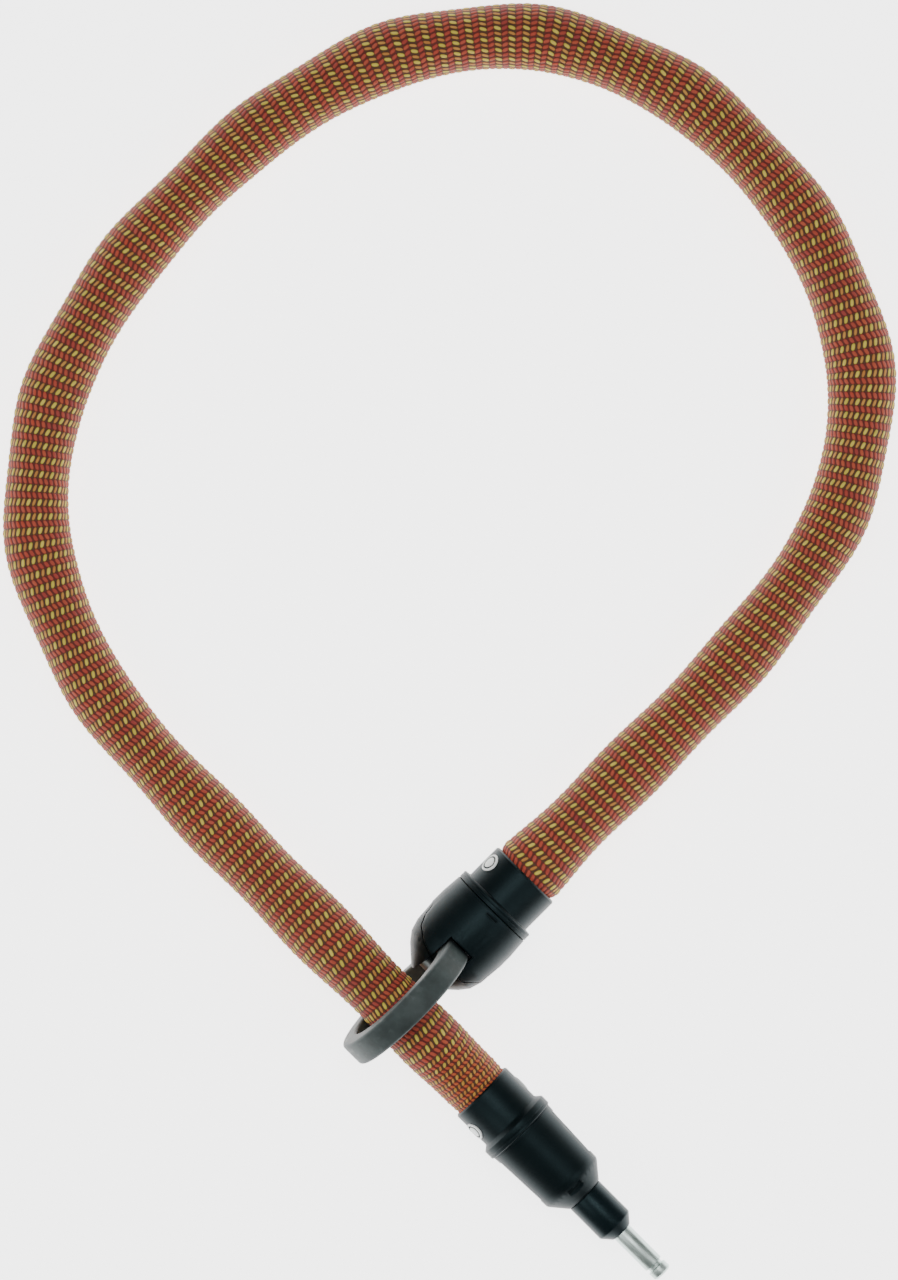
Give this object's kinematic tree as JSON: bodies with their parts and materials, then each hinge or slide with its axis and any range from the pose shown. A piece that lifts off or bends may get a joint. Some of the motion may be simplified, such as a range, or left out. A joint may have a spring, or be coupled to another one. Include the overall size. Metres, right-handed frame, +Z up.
{
  "type": "plug-in lock chain",
  "caption": "Square-link chain in a woven textile sleeve, with a swinging steel ring it is threaded through at one end and a plug with a grooved locking pin at the other.",
  "frame": {"origin": "centre of the whole part's bounding box, on the surface it lies on", "axes": "+Z up from the surface; +Y along the long side of the loop, from the lock plug towards the far end of the loop; +X to the right seen from above"},
  "size_m": [0.2838, 0.4049, 0.0486],
  "materials": {
    "link_steel": "zinc-plated, dull",
    "textile": "woven orange-red with yellow flecks",
    "black_plastic": "satin black moulded plastic",
    "neck_plastic": "smooth satin black plastic",
    "dark_inlay": "matte black",
    "ring_coat": "dark grey matte coating, scuffed",
    "inner_steel": "dull steel",
    "pin_steel": "bright nickel-plated steel",
    "badge": "plain pale grey, no mark"
  },
  "bodies": {
    "chain_loop": {"link_02": "link_steel", "link_03": "link_steel", "link_04": "link_steel", "link_05": "link_steel", "link_06": "link_steel", "link_07": "link_steel", "link_08": "link_steel", "link_09": "link_steel", "link_10": "link_steel", "link_11": "link_steel", "link_12": "link_steel", "link_13": "link_steel", "link_14": "link_steel", "link_15": "link_steel", "link_16": "link_steel", "link_17": "link_steel", "link_18": "link_steel", "link_19": "link_steel", "link_20": "link_steel", "link_21": "link_steel", "link_22": "link_steel", "link_23": "link_steel", "link_24": "link_steel", "link_25": "link_steel", "link_26": "link_steel", "link_27": "link_steel", "link_28": "link_steel", "link_29": "link_steel", "link_30": "link_steel", "link_31": "link_steel", "link_32": "link_steel", "sleeve_main": "textile"},
    "ring_end": {"link_01": "link_steel", "sleeve_head": "textile", "ring_housing": "black_plastic", "shell_top": "black_plastic", "shell_bottom": "black_plastic", "ring_collar": "black_plastic", "ring_crimp": "inner_steel", "ring_clevis": "inner_steel", "badge_upper": "badge", "badge_lower": "badge"},
    "cross_pin": {"ring_cross_pin": "inner_steel"},
    "ring": {"ring": "ring_coat"},
    "tail_link": {"link_33": "link_steel", "sleeve_mid": "textile"},
    "plug": {"link_34": "link_steel", "sleeve_tail": "textile", "plug_shell_top": "black_plastic", "plug_shell_bottom": "black_plastic", "plug_inlay_right": "dark_inlay", "plug_inlay_left": "dark_inlay", "plug_collar": "black_plastic", "plug_bolt": "pin_steel", "plug_washer": "inner_steel", "plug_neck": "neck_plastic", "plug_badge_left": "badge", "plug_badge_right": "badge"}
  },
  "joints": [
    {"name": "ring_end_yaw", "type": "hinge", "parent": "chain_loop", "child": "ring_end", "pos_m": [0.02874, -0.06996, 0.01501], "axis": [0, 0, 1], "range_deg": [-3, 3]},
    {"name": "ring_swing", "type": "hinge", "parent": "ring_end", "child": "cross_pin", "pos_m": [-0.00523, -0.10393, 0.0147], "axis": [0.7032, -0.7032, -0.1045], "range_deg": [0, 46]},
    {"name": "ring_spin", "type": "hinge", "parent": "cross_pin", "child": "ring", "pos_m": [-0.01355, -0.11367, 0.02421], "axis": [0.7032, -0.7032, -0.1045], "continuous": true},
    {"name": "tail_yaw", "type": "hinge", "parent": "chain_loop", "child": "tail_link", "pos_m": [-0.01218, -0.12046, 0.01826], "axis": [0, 0, 1], "range_deg": [-20, 20]},
    {"name": "plug_nod", "type": "hinge", "parent": "tail_link", "child": "plug", "pos_m": [0.0055, -0.13814, 0.01268], "axis": [0.7071, 0.7071, 0], "range_deg": [-12, 25]}
  ]
}
